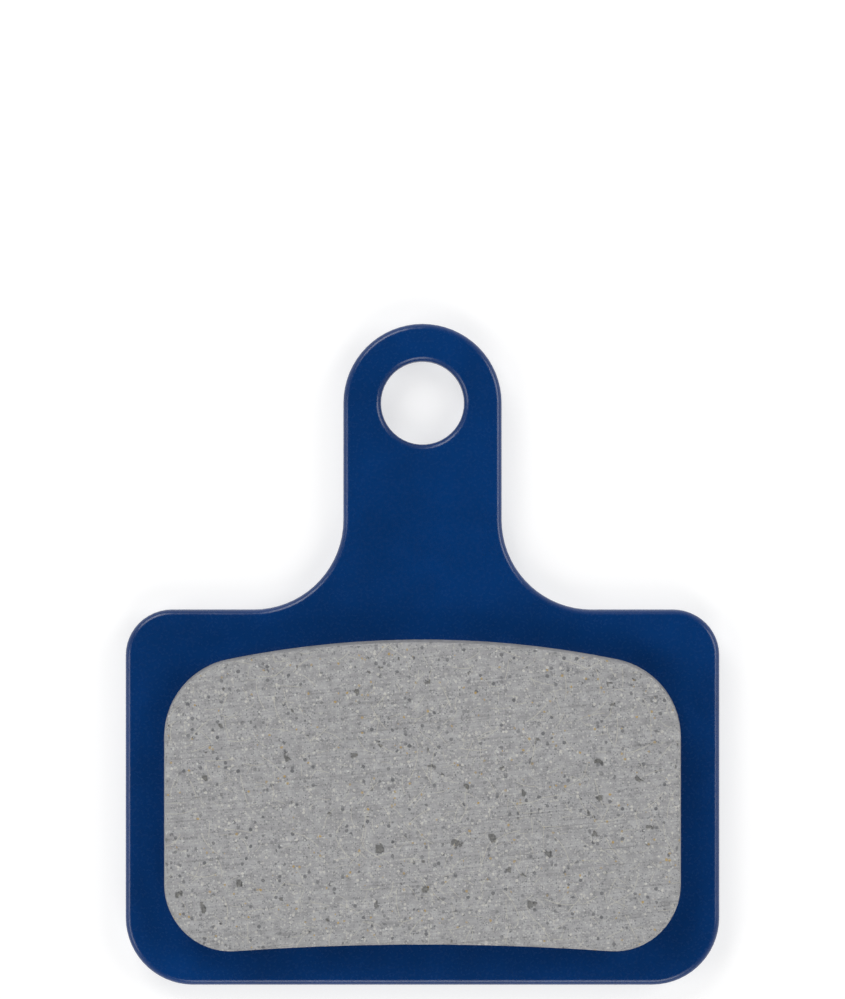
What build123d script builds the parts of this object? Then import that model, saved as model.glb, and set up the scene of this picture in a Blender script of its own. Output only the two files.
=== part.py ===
"""Bicycle disc brake pad: a blanked steel backing plate with a moulded friction lining keyed into it.

Millimetres. X runs across the pad, Y up its tab, away from the wheel's axle, and Z out of the friction face.
The origin is on the axis of the pin hole, at the plate's back face, so the pad lies on its back at Z = 0.
"""

import os
from math import sqrt

from build123d import *

# Outline of the backing plate
PLATE_WIDTH = 30.0  # between the side edges, which bear on the caliper
BODY_HEIGHT = 18.95  # from the bottom edge up to the shoulders
TAB_REACH = 10.45  # from the shoulders up to the axis of the pin hole
PIN_HOLE_DIAMETER = 4.2  # clears the 4 mm pin that the pad slides on
EYE_WALL = 1.9  # metal left round the pin hole
SHOULDER_RADIUS = 2.3
LOWER_CORNER_RADIUS = 3.4
NECK_RADIUS = 4.55  # where the tab runs out into the shoulders

# Section of the backing plate
PLATE_THICKNESS = 1.8
DIE_ROLL = 0.3  # edges drawn round by the blanking punch, on the lining's side
BURR_BREAK = 0.15  # edges broken by tumbling, on the piston's side

# Outline of the friction lining where it meets the plate
SIDE_MARGIN = 1.95  # plate left bare at each side edge
TOP_MARGIN = 1.5  # from the shoulders down to the lining, on the centre line
BOTTOM_MARGIN = 2.05  # from the bottom edge up to the lining, on the centre line
TOP_ARC_RADIUS = 49.0
BOTTOM_ARC_RADIUS = 132.0
LINING_UPPER_RADIUS = 4.0
LINING_LOWER_RADIUS = 3.4

# Section of the friction lining
LINING_THICKNESS = 2.2
LINING_DRAFT = 3.0  # degrees that let the moulded block out of its die
LINING_EDGE_BREAK = 0.12  # round the ground friction face

# Keying holes, which the compound is pressed into until it nearly fills them
KEY_DIAMETER = 4.0
KEY_SPACING = 13.0
KEY_RECESS = 0.2  # from the back face in to the end of the compound

# Places that follow from the sizes
tab_width = PIN_HOLE_DIAMETER + 2 * EYE_WALL
shoulder_y = -TAB_REACH
bottom_y = shoulder_y - BODY_HEIGHT
lining_top_y = shoulder_y - TOP_MARGIN
lining_bottom_y = bottom_y + BOTTOM_MARGIN
lining_side_x = PLATE_WIDTH / 2 - SIDE_MARGIN
key_centre = (0, (lining_top_y + lining_bottom_y) / 2)
plate_front = Plane.XY.offset(PLATE_THICKNESS)


def arc_drop(radius):
    """How far an arc over the lining's width falls from its crown to its ends."""
    return radius - sqrt(radius**2 - lining_side_x**2)


# The backing plate is one blank, a rounded body and a tab with a full round about its pin hole.
with BuildPart() as backing_plate:
    with BuildSketch() as blank:
        with Locations((0, bottom_y)):
            Rectangle(PLATE_WIDTH, BODY_HEIGHT, align=(Align.CENTER, Align.MIN))
        fillet(blank.vertices().group_by(Axis.Y)[-1], SHOULDER_RADIUS)
        fillet(blank.vertices().group_by(Axis.Y)[0], LOWER_CORNER_RADIUS)
        Rectangle(tab_width, TAB_REACH, align=(Align.CENTER, Align.MAX))
        Circle(tab_width / 2)
        fillet(blank.vertices().sort_by_distance((0, shoulder_y))[:2], NECK_RADIUS)
    extrude(amount=PLATE_THICKNESS)
    Hole(PIN_HOLE_DIAMETER / 2)
    with Locations(key_centre):
        with GridLocations(KEY_SPACING, 0, 2, 1):
            Hole(KEY_DIAMETER / 2)
    fillet(backing_plate.faces().sort_by(Axis.Z)[-1].edges(), DIE_ROLL)
    chamfer(backing_plate.faces().sort_by(Axis.Z)[0].edges(), BURR_BREAK)
backing_plate.part.label = "backing_plate"

# The friction lining is one moulding, an arched block with drafted sides and a peg down each keying hole.
with BuildPart() as friction_lining:
    with BuildSketch(plate_front) as block:
        with BuildLine():
            top_right = (lining_side_x, lining_top_y - arc_drop(TOP_ARC_RADIUS))
            top_left = (-lining_side_x, top_right[1])
            bottom_right = (lining_side_x, lining_bottom_y - arc_drop(BOTTOM_ARC_RADIUS))
            bottom_left = (-lining_side_x, bottom_right[1])
            ThreePointArc(top_right, (0, lining_top_y), top_left)
            Line(top_left, bottom_left)
            ThreePointArc(bottom_left, (0, lining_bottom_y), bottom_right)
            Line(bottom_right, top_right)
        make_face()
        fillet(block.vertices().group_by(Axis.Y)[-1], LINING_UPPER_RADIUS)
        fillet(block.vertices().group_by(Axis.Y)[0], LINING_LOWER_RADIUS)
    extrude(amount=LINING_THICKNESS)
    draft(friction_lining.faces().group_by(Axis.Z)[1], plate_front, LINING_DRAFT)
    chamfer(friction_lining.faces().sort_by(Axis.Z)[-1].edges(), LINING_EDGE_BREAK)
    with BuildSketch(Plane.XY.offset(KEY_RECESS)):
        with Locations(key_centre):
            with GridLocations(KEY_SPACING, 0, 2, 1):
                Circle(KEY_DIAMETER / 2)
    extrude(amount=PLATE_THICKNESS - KEY_RECESS)
    fillet(friction_lining.edges(Select.LAST).group_by(Axis.Z)[-1], DIE_ROLL)
friction_lining.part.label = "friction_lining"

os.makedirs("parts", exist_ok=True)
for piece in (backing_plate.part, friction_lining.part):
    export_step(piece, f"parts/{piece.label}.step")
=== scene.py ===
import math

import bmesh
import bpy
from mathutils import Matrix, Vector, noise


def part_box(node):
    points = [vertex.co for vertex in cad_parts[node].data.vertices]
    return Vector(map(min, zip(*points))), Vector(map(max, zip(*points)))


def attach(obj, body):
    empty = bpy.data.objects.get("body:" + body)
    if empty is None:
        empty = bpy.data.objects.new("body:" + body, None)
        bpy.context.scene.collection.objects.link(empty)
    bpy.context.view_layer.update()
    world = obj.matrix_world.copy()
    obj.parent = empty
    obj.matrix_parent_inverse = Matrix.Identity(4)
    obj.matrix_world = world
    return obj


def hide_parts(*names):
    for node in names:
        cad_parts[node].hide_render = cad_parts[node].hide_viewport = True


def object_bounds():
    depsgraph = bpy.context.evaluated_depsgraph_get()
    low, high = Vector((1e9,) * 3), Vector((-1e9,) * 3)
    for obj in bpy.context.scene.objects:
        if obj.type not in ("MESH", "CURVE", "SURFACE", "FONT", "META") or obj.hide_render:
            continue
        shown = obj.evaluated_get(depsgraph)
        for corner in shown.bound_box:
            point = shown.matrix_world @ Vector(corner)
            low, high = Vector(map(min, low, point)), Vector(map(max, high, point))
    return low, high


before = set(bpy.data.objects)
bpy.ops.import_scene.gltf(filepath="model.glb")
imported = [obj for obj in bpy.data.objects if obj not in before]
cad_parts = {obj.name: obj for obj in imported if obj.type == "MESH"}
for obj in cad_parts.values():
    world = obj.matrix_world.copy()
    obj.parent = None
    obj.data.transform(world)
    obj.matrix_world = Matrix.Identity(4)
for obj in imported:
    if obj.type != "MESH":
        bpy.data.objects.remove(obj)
cad_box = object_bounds()

# Backing plate
# One blank of 1.8 mm steel sheet. The die rolls its front edge over, shears the wall below that smooth and
# tears the rest, and tumbling breaks the burr. It is powder coated navy blue all over before the lining is
# moulded onto it.

MM = 0.001
MERGE_MM = 0.0005  # corners of the solid's triangles nearer than this are one
SNAP_MM = 0.008  # a cut that passes a corner nearer than this goes through it
FLAT_DEGREES = 0.1  # faces that meet flatter than this are one flat
CREASE_DEGREES = 25  # edges sharper than this stay sharp in the shading
OUTLINE_PITCH_MM = 0.1  # along the blank's outline
FLAT_PITCH_MM = 1.0  # across the blank's two flats
DIE_ROLL_MM = 0.3
DIE_ROLL_STEPS = 8
HOLDING_RING_MM = 0.05  # flat ring inside the die roll, which keeps its shading off the flat
SHEARED_MM = 0.5  # smooth band of the wall, below the die roll
TEARING_PITCH_MM = 0.1
TEARING_MM = 0.06  # deepest tearing
TEARING_GRAIN_MM = (0.28, 0.28, 0.4)
BURR_BREAK_MM = 0.15


def faces_in(geom):
    """The faces among the parts that an operator returns."""
    return [part for part in geom if isinstance(part, bmesh.types.BMFace)]


def edges_and_corners(faces):
    """The edges and the corners of these faces, each once, in the same order on every run."""
    edges = dict.fromkeys(e for f in faces for e in f.edges)
    corners = dict.fromkeys(v for f in faces for v in f.verts)
    return list(edges), list(corners)


def cut_into_grid(bm, faces, pitch_mm):
    """Cuts flat or nearly flat faces into columns and then rows of about this pitch."""
    for axis in (0, 1):
        corners = edges_and_corners(faces)[1]
        low = min(v.co[axis] for v in corners)
        high = max(v.co[axis] for v in corners)
        count = math.ceil((high - low) / (pitch_mm * MM))
        across = Vector()
        across[axis] = 1
        done = []
        for step in range(1, count):
            place = low + (high - low) * step / count
            edges, corners = edges_and_corners(faces)
            cut = bmesh.ops.bisect_plane(
                bm, geom=faces + edges + corners, dist=SNAP_MM * MM,
                plane_co=across * place, plane_no=across,
            )
            parts = faces_in(cut["geom"])
            done += [f for f in parts if f.calc_center_bounds()[axis] < place]
            faces = [f for f in parts if f.calc_center_bounds()[axis] > place]
        faces = done + faces


def crease(bm):
    """Shades the whole mesh smooth, apart from its sharper edges."""
    for f in bm.faces:
        f.smooth = True
    for e in bm.edges:
        e.smooth = e.calc_face_angle(0) < math.radians(CREASE_DEGREES)


# The outline is the solid's own, taken where the wall stops being sheared and starts to tear.
back, front = (corner.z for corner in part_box("backing_plate"))
tearing_from = front - (DIE_ROLL_MM + SHEARED_MM) * MM
bm = bmesh.new()
bm.from_mesh(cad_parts["backing_plate"].data)
bmesh.ops.remove_doubles(bm, verts=bm.verts, dist=MERGE_MM * MM)
bmesh.ops.bisect_plane(
    bm, geom=[*bm.verts, *bm.edges, *bm.faces], plane_co=(0, 0, tearing_from), plane_no=(0, 0, 1),
    clear_inner=True, clear_outer=True,
)
bmesh.ops.dissolve_limit(bm, angle_limit=math.radians(FLAT_DEGREES), verts=bm.verts, edges=bm.edges)
for e in bm.edges[:]:
    cuts = math.ceil(e.calc_length() / (OUTLINE_PITCH_MM * MM)) - 1
    bmesh.ops.subdivide_edges(bm, edges=[e], cuts=cuts)

# The sheared band is drawn up from that outline.
filled = bmesh.ops.triangle_fill(bm, edges=bm.edges, use_beauty=True)
back_faces = faces_in(filled["geom"])
drawn = bmesh.ops.extrude_face_region(bm, geom=back_faces)
front_faces = faces_in(drawn["geom"])
bmesh.ops.translate(bm, verts=edges_and_corners(front_faces)[1], vec=(0, 0, SHEARED_MM * MM))
bmesh.ops.recalc_face_normals(bm, faces=bm.faces)

# The die roll goes on from its top and the torn band from its foot, in steps inward and onward.
turns = [math.pi / 2 * step / DIE_ROLL_STEPS for step in range(DIE_ROLL_STEPS + 1)]
die_roll_steps = [
    (DIE_ROLL_MM * (math.cos(first) - math.cos(last)), DIE_ROLL_MM * (math.sin(last) - math.sin(first)))
    for first, last in zip(turns, turns[1:])
]
front_steps = [*die_roll_steps, (HOLDING_RING_MM, 0.0)]
torn_mm = (tearing_from - back) / MM - BURR_BREAK_MM
torn_rows = math.ceil(torn_mm / TEARING_PITCH_MM)
torn_steps = [(0.0, torn_mm / torn_rows)] * torn_rows
back_steps = [*torn_steps, (BURR_BREAK_MM, BURR_BREAK_MM)]
for faces, steps in ((front_faces, front_steps), (back_faces, back_steps)):
    for inward, onward in steps:
        bmesh.ops.inset_region(
            bm, faces=faces, use_boundary=True, use_even_offset=True,
            thickness=inward * MM, depth=onward * MM,
        )
for faces in (front_faces, back_faces):
    edges, corners = edges_and_corners(faces)
    flat = bmesh.ops.dissolve_limit(bm, angle_limit=math.radians(FLAT_DEGREES), verts=corners, edges=edges)
    cut_into_grid(bm, faces_in(flat["region"]), FLAT_PITCH_MM)

# The tearing goes only inward, so the plate keeps its size.
crease(bm)
bm.normal_update()
for v in bm.verts:
    if back + (BURR_BREAK_MM + MERGE_MM) * MM < v.co.z < tearing_from - MERGE_MM * MM:
        grain = Vector(c / (size * MM) for c, size in zip(v.co, TEARING_GRAIN_MM))
        v.co -= v.normal * (1 + noise.noise(grain)) / 2 * TEARING_MM * MM
plate_mesh = bpy.data.meshes.new("blanked_plate")
bm.to_mesh(plate_mesh)
bm.free()

NAVY_THIN = "#002D61"
NAVY_THICK = "#00336D"
CLOUD_MM = 3.5
CLOUD_DETAIL = 5.0
PEEL_MM = 1.1
PEEL_HEIGHT_MM = 0.012
PEEL_DETAIL = 1.0
POWDER_MM = 0.16  # real powder is finer, and too fine to show
POWDER_HEIGHT_MM = 0.0015
POWDER_DETAIL = 1.0
POWDER_ROUGHNESS = (0.23, 0.29)
SHEAR_MM = (0.22, 0.22, 3.0)
SHEAR_HEIGHT_MM = 0.015
SHEAR_DETAIL = 2.0
ON_EDGE = {"From Min": 0.5, "From Max": 0.1}  # upright part of the normal, from the flats to the wall
NOISE_MIDDLE = {"From Min": 0.3, "From Max": 0.7}  # where most values of a noise pattern lie


def linear(hex_colour):
    """The linear colour that an sRGB hex value stands for."""
    channels = [int(hex_colour[i : i + 2], 16) / 255 for i in (1, 3, 5)]
    return [c / 12.92 if c <= 0.04045 else ((c + 0.055) / 1.055) ** 2.4 for c in channels] + [1.0]


def per_metre(size_mm):
    """The scale of a pattern whose features have this size."""
    return 1 / (size_mm * MM)


def add(tree, kind, inputs=(), **settings):
    """Adds a node with its settings, and gives each named input a value or a link from another node."""
    made = tree.nodes.new("ShaderNode" + kind)
    for name, value in settings.items():
        setattr(made, name, value)
    for name, value in dict(inputs).items():
        if isinstance(value, bpy.types.NodeSocket):
            tree.links.new(value, made.inputs[name])
        else:
            made.inputs[name].default_value = value
    return made


def relief_normal(tree, heights):
    """The normal of a surface with these patterns on it, each with the height in mm that it reaches."""
    total = 0.0
    for pattern, height_mm in heights:
        raised = add(tree, "Math", {0: pattern, 1: height_mm, 2: total}, operation="MULTIPLY_ADD")
        total = raised.outputs["Value"]
    return add(tree, "Bump", {"Height": total, "Distance": MM}).outputs["Normal"]


def powder_coat():
    """Satin polyester powder: a soft even sheen, faint orange peel, and shear marks on the edges."""
    material = bpy.data.materials.new("navy_powder_coat")
    material.use_nodes = True
    tree = material.node_tree
    shader = tree.nodes["Principled BSDF"]
    coords = add(tree, "TexCoord")
    place = coords.outputs["Object"]

    cloud = add(tree, "TexNoise", {"Vector": place, "Scale": per_metre(CLOUD_MM), "Detail": CLOUD_DETAIL})
    tint = add(tree, "MapRange", {"Value": cloud.outputs["Fac"], **NOISE_MIDDLE})
    colour = add(tree, "MixRGB", {
        "Fac": tint.outputs["Result"], "Color1": linear(NAVY_THIN), "Color2": linear(NAVY_THICK),
    })
    tree.links.new(colour.outputs["Color"], shader.inputs["Base Color"])

    powder = add(tree, "TexNoise", {
        "Vector": place, "Scale": per_metre(POWDER_MM), "Detail": POWDER_DETAIL,
    })
    rough = add(tree, "MapRange", {
        "Value": powder.outputs["Fac"], **NOISE_MIDDLE,
        "To Min": POWDER_ROUGHNESS[0], "To Max": POWDER_ROUGHNESS[1],
    })
    tree.links.new(rough.outputs["Result"], shader.inputs["Roughness"])

    peel = add(tree, "TexNoise", {"Vector": place, "Scale": per_metre(PEEL_MM), "Detail": PEEL_DETAIL})
    stretch = add(tree, "Mapping", {"Vector": place, "Scale": [per_metre(size) for size in SHEAR_MM]})
    shear = add(tree, "TexNoise", {
        "Vector": stretch.outputs["Vector"], "Scale": 1.0, "Detail": SHEAR_DETAIL,
    })
    facing = add(tree, "SeparateXYZ", {"Vector": coords.outputs["Normal"]})
    tilt = add(tree, "Math", {0: facing.outputs["Z"]}, operation="ABSOLUTE")
    on_edge = add(tree, "MapRange", {"Value": tilt.outputs["Value"], **ON_EDGE})
    edge_marks = add(tree, "Math", {
        0: shear.outputs["Fac"], 1: on_edge.outputs["Result"],
    }, operation="MULTIPLY")
    heights = (
        (peel.outputs["Fac"], PEEL_HEIGHT_MM),
        (powder.outputs["Fac"], POWDER_HEIGHT_MM),
        (edge_marks.outputs["Value"], SHEAR_HEIGHT_MM),
    )
    tree.links.new(relief_normal(tree, heights), shader.inputs["Normal"])
    return material


plate = bpy.data.objects.new("blanked_plate", plate_mesh)
bpy.context.scene.collection.objects.link(plate)
plate_mesh.materials.append(powder_coat())
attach(plate, "root")
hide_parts("backing_plate")

# Friction lining
# One block of friction compound: mineral fillers, rubber crumb, metal chips and short fibres in phenolic
# resin. It is hot pressed onto the plate, runs down the keying holes as pegs, and has its face ground flat
# on a belt.

GROUND, MOULDED = 0, 1  # places in the lining's list of materials
FACE_PITCH_MM = 0.07
PIT_SPACING_MM = 1.0
PIT_SHARE = 0.4  # share of those places where a grain tore out
PIT_RADIUS_MM = (0.08, 0.22)
PIT_SMALLNESS = 2  # power that makes small pits commoner
PIT_STEEPNESS = 0.35  # depth as a share of the radius
PIT_FLATNESS = 4  # power that gives steep walls and a flat floor
PIT_RAGGED = ((0.35, 0.18), (0.14, 0.1))  # size of the jags and how far they reach, in mm
PIT_PICK = 57  # these two set the draws for picking a pit and for its radius apart
PIT_DRAW = 91


def pit_depth(place):
    """Depth in metres, at a place on the ground face, of the pits that torn-out grains leave there."""
    point = place / MM
    for size_mm, reach_mm in PIT_RAGGED:
        spot = place / MM / size_mm
        shift = Vector((noise.noise(spot), noise.noise(-spot), noise.noise(spot.zxy)))
        point = point + reach_mm * shift
    distances, centres = noise.voronoi(point / PIT_SPACING_MM)
    if noise.cell(centres[0] * PIT_PICK) > PIT_SHARE:
        return 0.0
    smallest, largest = PIT_RADIUS_MM
    radius = smallest + (largest - smallest) * noise.cell(centres[0] * PIT_DRAW) ** PIT_SMALLNESS
    from_centre = distances[0] * PIT_SPACING_MM / radius
    return radius * PIT_STEEPNESS * max(0.0, 1 - from_centre**PIT_FLATNESS) * MM


bm = bmesh.new()
bm.from_mesh(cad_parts["friction_lining"].data)
bmesh.ops.remove_doubles(bm, verts=bm.verts, dist=MERGE_MM * MM)
bmesh.ops.dissolve_limit(bm, angle_limit=math.radians(FLAT_DEGREES), verts=bm.verts, edges=bm.edges)

ground_face = max(bm.faces, key=lambda f: f.calc_center_median().z)
face_z = ground_face.verts[0].co.z
for f in bm.faces:
    f.material_index = MOULDED
for e in ground_face.edges:
    for f in e.link_faces:
        f.material_index = GROUND

# The ground face and its broken edge are cut finely enough to carry the pits.
cut_into_grid(bm, [f for f in bm.faces if f.material_index == GROUND], FACE_PITCH_MM)
crease(bm)
pit = bm.verts.layers.float.new("pit")
full_pit = PIT_RADIUS_MM[0] * PIT_STEEPNESS * MM
for v in bm.verts:
    if abs(v.co.z - face_z) < MERGE_MM * MM:
        depth = pit_depth(v.co)
        v[pit] = min(1.0, depth / full_pit)
        v.co.z -= depth

lining_mesh = bpy.data.meshes.new("moulded_lining")
bm.to_mesh(lining_mesh)
bm.free()

RESIN_DARK = "#8D8D8E"
RESIN_PALE = "#A6A6A7"
RESIN_MM = 0.5
RESIN_DETAIL = 6.0
RAGGED_MM = 0.09  # jags that keep the grains from being round
RAGGED_REACH_MM = 0.07
FINE_DETAIL = 2.0
FILLERS = (
    # colour, grain mm, share of the grains, metallic, height over the resin mm
    ("#77787B", 0.09, 0.32, False, -0.008),
    ("#B4B3B1", 0.10, 0.30, False, 0.006),
    ("#66676A", 0.21, 0.10, False, -0.015),
    ("#BEBCB7", 0.17, 0.10, False, 0.008),
    ("#B39C6C", 0.15, 0.02, True, 0.0),
    ("#C8C8C6", 0.12, 0.03, True, 0.0),
)
GRAIN_CORE = 0.4  # a grain is whole out to here and gone at its rim, as shares of its size
GRAIN_RIM = 0.5
FAINTEST_GRAIN = 0.4  # for a grain that lies under a film of resin
FIBRE = "#B9B6AD"
FIBRE_LAYERS = (
    # spacing mm, length mm, width mm, which is wider than a real fibre so that it shows
    (1.3, 1.0, 0.035),
    (0.9, 0.6, 0.03),
    (1.7, 1.5, 0.04),
)
FIBRE_BEND = 0.5  # most bend, over the length
FIBRE_SHARE = 0.6
FIBRE_BARE = (0.4, 0.95)
FIBRE_HEIGHT_MM = 0.008
GRIT_MM = 0.06
GRIT_SHADE = (0.92, 1.08)
GRIT_HEIGHT_MM = 0.015
BELT_STROKE_MM = (6.0, 0.09, 6.0)
DRAWN_STROKE_MM = (0.25, 0.25, 4.0)
STROKE_TURN_DEGREES = 5
STROKE_SHADE = (0.9, 1.09)
STROKE_HEIGHT_MM = 0.008
SCORE_MM = (6.0, 0.11, 6.0)
SCORE_FROM = {"From Min": 0.6, "From Max": 0.72}
SCORE_SHADE = (1.0, 0.84)
SCORE_HEIGHT_MM = -0.01
TEAR_MM = 0.09
TEAR_REACH = 0.6
# The pits' mask, from its start to its full strength, sets their bump and their painted shade; the grey
# below is that painted shade.
HOLLOW_AND_SHADE_FROM = {"From Min": 0.5, "From Max": 1.1}
PIT_PAINTED_SHADE = "#BDBDBA"
TORN_HEIGHT_MM = -0.04
GROUND_BARE = 1.0
SKIN_BARE = 0.45  # how much of the grains shows through the moulded skin
RESIN_ROUGHNESS = 0.8
METAL_ROUGHNESS = 0.5


def mottled_resin(tree, place):
    """Grey phenolic resin, clouded by the dust in it."""
    mottle = add(tree, "TexNoise", {"Vector": place, "Scale": per_metre(RESIN_MM), "Detail": RESIN_DETAIL})
    share = add(tree, "MapRange", {"Value": mottle.outputs["Fac"], **NOISE_MIDDLE})
    return add(tree, "MixRGB", {
        "Fac": share.outputs["Result"], "Color1": linear(RESIN_DARK), "Color2": linear(RESIN_PALE),
    }).outputs["Color"]


def press_in_grains(tree, place, wobble, bare, colour, heights):
    """Ragged grains and metal chips, each kind in its share of the cells of a pattern, some under resin."""
    ragged = add(tree, "VectorMath", {
        0: wobble.outputs["Color"], 1: (RAGGED_REACH_MM * MM,) * 3, 2: place,
    }, operation="MULTIPLY_ADD")
    metal = 0.0
    for hex_colour, grain_mm, grain_share, metallic, height_mm in FILLERS:
        grain = add(tree, "TexVoronoi", {"Vector": ragged.outputs["Vector"], "Scale": per_metre(grain_mm)})
        chance = add(tree, "SeparateXYZ", {"Vector": grain.outputs["Color"]})
        picked = add(tree, "Math", {0: chance.outputs["X"], 1: grain_share}, operation="LESS_THAN")
        clear = add(tree, "MapRange", {
            "Value": chance.outputs["Y"], "To Min": FAINTEST_GRAIN * bare, "To Max": bare,
        })
        crumb = add(tree, "MapRange", {
            "Value": grain.outputs["Distance"], "From Min": GRAIN_RIM, "From Max": GRAIN_CORE,
        })
        strength = add(tree, "Math", {
            0: picked.outputs["Value"], 1: clear.outputs["Result"],
        }, operation="MULTIPLY")
        shown = add(tree, "Math", {
            0: strength.outputs["Value"], 1: crumb.outputs["Result"],
        }, operation="MULTIPLY").outputs["Value"]
        colour = add(tree, "MixRGB", {
            "Fac": shown, "Color1": colour, "Color2": linear(hex_colour),
        }).outputs["Color"]
        heights.append((shown, height_mm))
        if metallic:
            metal = add(tree, "Math", {0: metal, 1: shown}, operation="MAXIMUM").outputs["Value"]
    return colour, metal


def lay_in_fibres(tree, place, wobble, colour, heights):
    """Thin pale fibres, each at its own turn and bend about the middle of a cell of a flat pattern."""
    sunk = add(tree, "MapRange", {
        "Value": wobble.outputs["Fac"], **NOISE_MIDDLE, "To Min": FIBRE_BARE[0], "To Max": FIBRE_BARE[1],
    })
    for spacing_mm, length_mm, width_mm in FIBRE_LAYERS:
        cell = add(tree, "TexVoronoi", {
            "Vector": place, "Scale": per_metre(spacing_mm),
        }, voronoi_dimensions="2D")
        chance = add(tree, "SeparateXYZ", {"Vector": cell.outputs["Color"]})
        offset = add(tree, "VectorMath", {0: place, 1: cell.outputs["Position"]}, operation="SUBTRACT")
        turn = add(tree, "Math", {0: chance.outputs["X"], 1: math.tau}, operation="MULTIPLY")
        turned = add(tree, "VectorRotate", {
            "Vector": offset.outputs["Vector"], "Angle": turn.outputs["Value"],
        }, rotation_type="Z_AXIS")
        spot = add(tree, "SeparateXYZ", {"Vector": turned.outputs["Vector"]})
        most_bend = FIBRE_BEND / (length_mm * MM)
        bend = add(tree, "MapRange", {
            "Value": chance.outputs["Y"], "To Min": -most_bend, "To Max": most_bend,
        })
        square = add(tree, "Math", {0: spot.outputs["X"], 1: 2.0}, operation="POWER")
        curve = add(tree, "Math", {
            0: square.outputs["Value"], 1: bend.outputs["Result"], 2: spot.outputs["Y"],
        }, operation="MULTIPLY_ADD")
        along = add(tree, "Math", {0: spot.outputs["X"]}, operation="ABSOLUTE")
        across = add(tree, "Math", {0: curve.outputs["Value"]}, operation="ABSOLUTE")
        shown = sunk.outputs["Result"]
        for measure, limit in (
            (across.outputs["Value"], width_mm / 2 * MM),
            (along.outputs["Value"], length_mm / 2 * MM),
            (chance.outputs["Z"], FIBRE_SHARE),
        ):
            within = add(tree, "Math", {0: measure, 1: limit}, operation="LESS_THAN")
            shown = add(tree, "Math", {
                0: shown, 1: within.outputs["Value"],
            }, operation="MULTIPLY").outputs["Value"]
        colour = add(tree, "MixRGB", {
            "Fac": shown, "Color1": colour, "Color2": linear(FIBRE),
        }).outputs["Color"]
        heights.append((shown, FIBRE_HEIGHT_MM))
    return colour


def rub_in_marks(tree, place, stroke_mm, ground, colour, heights):
    """Fine grit and long strokes that shade the surface a little, with deeper scores where it is ground."""
    grit = add(tree, "TexNoise", {"Vector": place, "Scale": per_metre(GRIT_MM), "Detail": FINE_DETAIL})
    patterns = [(grit, NOISE_MIDDLE, GRIT_SHADE, GRIT_HEIGHT_MM)]
    strokes = [(stroke_mm, NOISE_MIDDLE, STROKE_SHADE, STROKE_HEIGHT_MM)]
    if ground:
        strokes.append((SCORE_MM, SCORE_FROM, SCORE_SHADE, SCORE_HEIGHT_MM))
    for size_mm, limits, shades, height_mm in strokes:
        stretch = add(tree, "Mapping", {
            "Vector": place, "Rotation": (0, 0, math.radians(STROKE_TURN_DEGREES)),
            "Scale": [size * MM for size in size_mm],
        }, vector_type="TEXTURE")
        stroke = add(tree, "TexNoise", {
            "Vector": stretch.outputs["Vector"], "Scale": 1.0, "Detail": FINE_DETAIL,
        })
        patterns.append((stroke, limits, shades, height_mm))
    for pattern, limits, (first, last), height_mm in patterns:
        share = add(tree, "MapRange", {"Value": pattern.outputs["Fac"], **limits}).outputs["Result"]
        shade = add(tree, "MapRange", {"Value": share, "To Min": first, "To Max": last})
        colour = add(tree, "MixRGB", {
            "Fac": 1.0, "Color1": colour, "Color2": shade.outputs["Result"],
        }, blend_type="MULTIPLY").outputs["Color"]
        heights.append((share, height_mm))
    return colour


def tear_out_and_shade_pits(tree, place, colour, heights):
    """Ragged hollows where the mesh has its pits, deepened by a bump and darkened by painted shade."""
    depth = add(tree, "Attribute", attribute_name="pit")
    tear = add(tree, "TexNoise", {"Vector": place, "Scale": per_metre(TEAR_MM), "Detail": FINE_DETAIL})
    ragged_depth = add(tree, "Math", {
        0: tear.outputs["Fac"], 1: TEAR_REACH, 2: depth.outputs["Fac"],
    }, operation="MULTIPLY_ADD")
    hollow_and_shade = add(tree, "MapRange", {"Value": ragged_depth.outputs["Value"], **HOLLOW_AND_SHADE_FROM}).outputs["Result"]
    heights.append((hollow_and_shade, TORN_HEIGHT_MM))
    # Painted shade: the colour is multiplied darker in the pits, standing in for the shade that falls in the
    # hollows.
    return add(tree, "MixRGB", {
        "Fac": hollow_and_shade, "Color1": colour, "Color2": linear(PIT_PAINTED_SHADE),
    }, blend_type="MULTIPLY").outputs["Color"]


def friction_compound(name, bare, stroke_mm, ground):
    """Dull grey resin crowded with grains, under a moulded skin or laid bare by a belt."""
    material = bpy.data.materials.new(name)
    material.use_nodes = True
    tree = material.node_tree
    shader = tree.nodes["Principled BSDF"]
    place = add(tree, "TexCoord").outputs["Object"]
    wobble = add(tree, "TexNoise", {"Vector": place, "Scale": per_metre(RAGGED_MM), "Detail": FINE_DETAIL})

    heights = []
    colour = mottled_resin(tree, place)
    colour, metal = press_in_grains(tree, place, wobble, bare, colour, heights)
    if ground:
        colour = lay_in_fibres(tree, place, wobble, colour, heights)
    colour = rub_in_marks(tree, place, stroke_mm, ground, colour, heights)
    # The ground face's pits get a deeper bump and painted shade.
    if ground:
        colour = tear_out_and_shade_pits(tree, place, colour, heights)

    tree.links.new(colour, shader.inputs["Base Color"])
    tree.links.new(metal, shader.inputs["Metallic"])
    rough = add(tree, "MapRange", {"Value": metal, "To Min": RESIN_ROUGHNESS, "To Max": METAL_ROUGHNESS})
    tree.links.new(rough.outputs["Result"], shader.inputs["Roughness"])
    tree.links.new(relief_normal(tree, heights), shader.inputs["Normal"])
    return material


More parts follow.
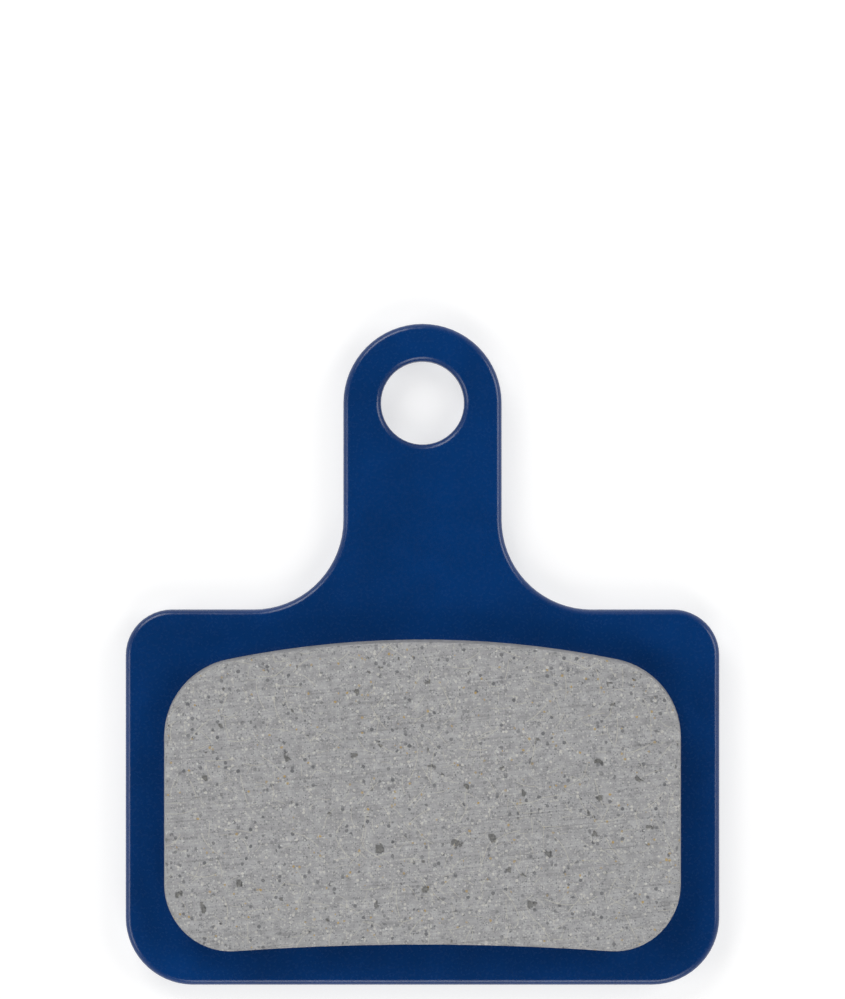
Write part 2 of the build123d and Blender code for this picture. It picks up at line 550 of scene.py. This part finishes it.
lining = bpy.data.objects.new("moulded_lining", lining_mesh)
bpy.context.scene.collection.objects.link(lining)
for name, bare, stroke_mm, ground in (
    ("ground_friction_compound", GROUND_BARE, BELT_STROKE_MM, True),
    ("moulded_friction_compound", SKIN_BARE, DRAWN_STROKE_MM, False),
):
    lining_mesh.materials.append(friction_compound(name, bare, stroke_mm, ground))
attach(lining, "root")
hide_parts("friction_lining")

# Table and light
# A plain white table that the pad lies on its back on, with soft boxes round it and a dark ceiling over the
# camera, as on a copying stand, so that the coat shows its own colour from above.

TABLE_SIZE_MM = 600
TABLE_GAP_MM = 0.02
TABLE_WHITE = "#B4B4B4"
TABLE_LIFT = 0.6

pad_centre = (cad_box[0] + cad_box[1]) / 2
bm = bmesh.new()
bmesh.ops.create_grid(bm, x_segments=1, y_segments=1, size=TABLE_SIZE_MM / 2 * MM)
bmesh.ops.translate(bm, verts=bm.verts, vec=(0, 0, cad_box[0].z - TABLE_GAP_MM * MM))
table_mesh = bpy.data.meshes.new("white_table")
bm.to_mesh(table_mesh)
bm.free()
table = bpy.data.objects.new("white_table", table_mesh)
bpy.context.scene.collection.objects.link(table)
# The pale sky below the horizon stands for the light that the table sends up, so it reaches the back too.
table.visible_diffuse = False
table.visible_shadow = False


def matt_white():
    """Matt white paint, lifted to white for the eye and for reflections, that still takes a shadow."""
    material = bpy.data.materials.new("matt_white")
    material.use_nodes = True
    tree = material.node_tree
    tree.nodes.clear()
    paint = add(tree, "BsdfDiffuse", {"Color": linear(TABLE_WHITE)})
    path = add(tree, "LightPath")
    seen = add(tree, "Math", {0: path.outputs["Is Camera Ray"], 1: path.outputs["Is Glossy Ray"]})
    seen = add(tree, "Math", {
        0: seen.outputs["Value"], 1: path.outputs["Is Transmission Ray"],
    }, use_clamp=True)
    strength = add(tree, "Math", {0: seen.outputs["Value"], 1: TABLE_LIFT}, operation="MULTIPLY")
    lift = add(tree, "Emission", {"Strength": strength.outputs["Value"]})
    lifted = add(tree, "AddShader", {0: paint.outputs["BSDF"], 1: lift.outputs["Emission"]})
    # From below the table is clear, so that the pad's back can be seen.
    clear = add(tree, "BsdfTransparent")
    side = add(tree, "NewGeometry")
    top_only = add(tree, "MixShader", {
        0: side.outputs["Backfacing"], 1: lifted.outputs["Shader"], 2: clear.outputs["BSDF"],
    })
    add(tree, "OutputMaterial", {"Surface": top_only.outputs["Shader"]})
    return material


table_mesh.materials.append(matt_white())

SKY_WHITE = "#FFFFFF"
SKY_HORIZON = 1.0  # strength at the horizon and below it
DARK_CEILING_DEGREES = 58  # elevation above which the sky is black

world = bpy.data.worlds.new("copying_room")
bpy.context.scene.world = world
world.use_nodes = True
sky = world.node_tree
direction = add(sky, "SeparateXYZ", {"Vector": add(sky, "TexCoord").outputs["Generated"]})
sky_level = add(sky, "MapRange", {
    "Value": direction.outputs["Z"], "From Max": math.sin(math.radians(DARK_CEILING_DEGREES)),
    "To Min": SKY_HORIZON, "To Max": 0.0,
})
sky.links.new(sky_level.outputs["Result"], sky.nodes["Background"].inputs["Strength"])
sky.nodes["Background"].inputs["Color"].default_value = linear(SKY_WHITE)

SOFT_BOX_DISTANCE_MM = 500
SOFT_BOX_SIZE_MM = 250
SOFT_BOX_ELEVATION_DEGREES = 44
SOFT_BOXES = {
    # degrees round from the tab's end, and the brightness that this box alone gives a level white sheet
    "key_box": (-30, 0.27),
    "right_box": (75, 0.22),
    "near_box": (170, 0.21),
    "left_box": (-105, 0.17),
}

for name, (azimuth, brightness) in SOFT_BOXES.items():
    around, up = math.radians(azimuth), math.radians(SOFT_BOX_ELEVATION_DEGREES)
    out = Vector((math.sin(around) * math.cos(up), math.cos(around) * math.cos(up), math.sin(up)))
    distance = SOFT_BOX_DISTANCE_MM * MM
    lamp = bpy.data.lights.new(name, "AREA")
    lamp.size = SOFT_BOX_SIZE_MM * MM
    lamp.energy = brightness * math.pi**2 * distance**2 / math.sin(up)
    box = bpy.data.objects.new(name, lamp)
    box.location = pad_centre + out * distance
    box.rotation_mode = "QUATERNION"
    box.rotation_quaternion = out.to_track_quat("Z", "Y")
    bpy.context.scene.collection.objects.link(box)

# Camera
# It looks straight down on the pad through a long lens, tab up, as the photograph shows the pad face on. The
# plate is as wide in the frame as it is there, and the pin hole is at the same height.

PHOTO_HEIGHT_PX = 999
PLATE_WIDTH_PX = 594.0
PIN_HOLE_DOWN_PX = 402.9
LENS_MM = 300
SENSOR_MM = 36

plate_low, plate_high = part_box("backing_plate")
metres_per_px = (plate_high.x - plate_low.x) / PLATE_WIDTH_PX
camera = bpy.data.objects.new("camera", bpy.data.cameras.new("camera"))
camera.data.lens = LENS_MM
camera.data.sensor_width = SENSOR_MM
camera.location = (
    0,
    (PIN_HOLE_DOWN_PX - PHOTO_HEIGHT_PX / 2) * metres_per_px,
    plate_high.z + PHOTO_HEIGHT_PX * metres_per_px * LENS_MM / SENSOR_MM,
)
bpy.context.scene.collection.objects.link(camera)
bpy.context.scene.camera = camera
bpy.context.scene.view_settings.view_transform = "Standard"
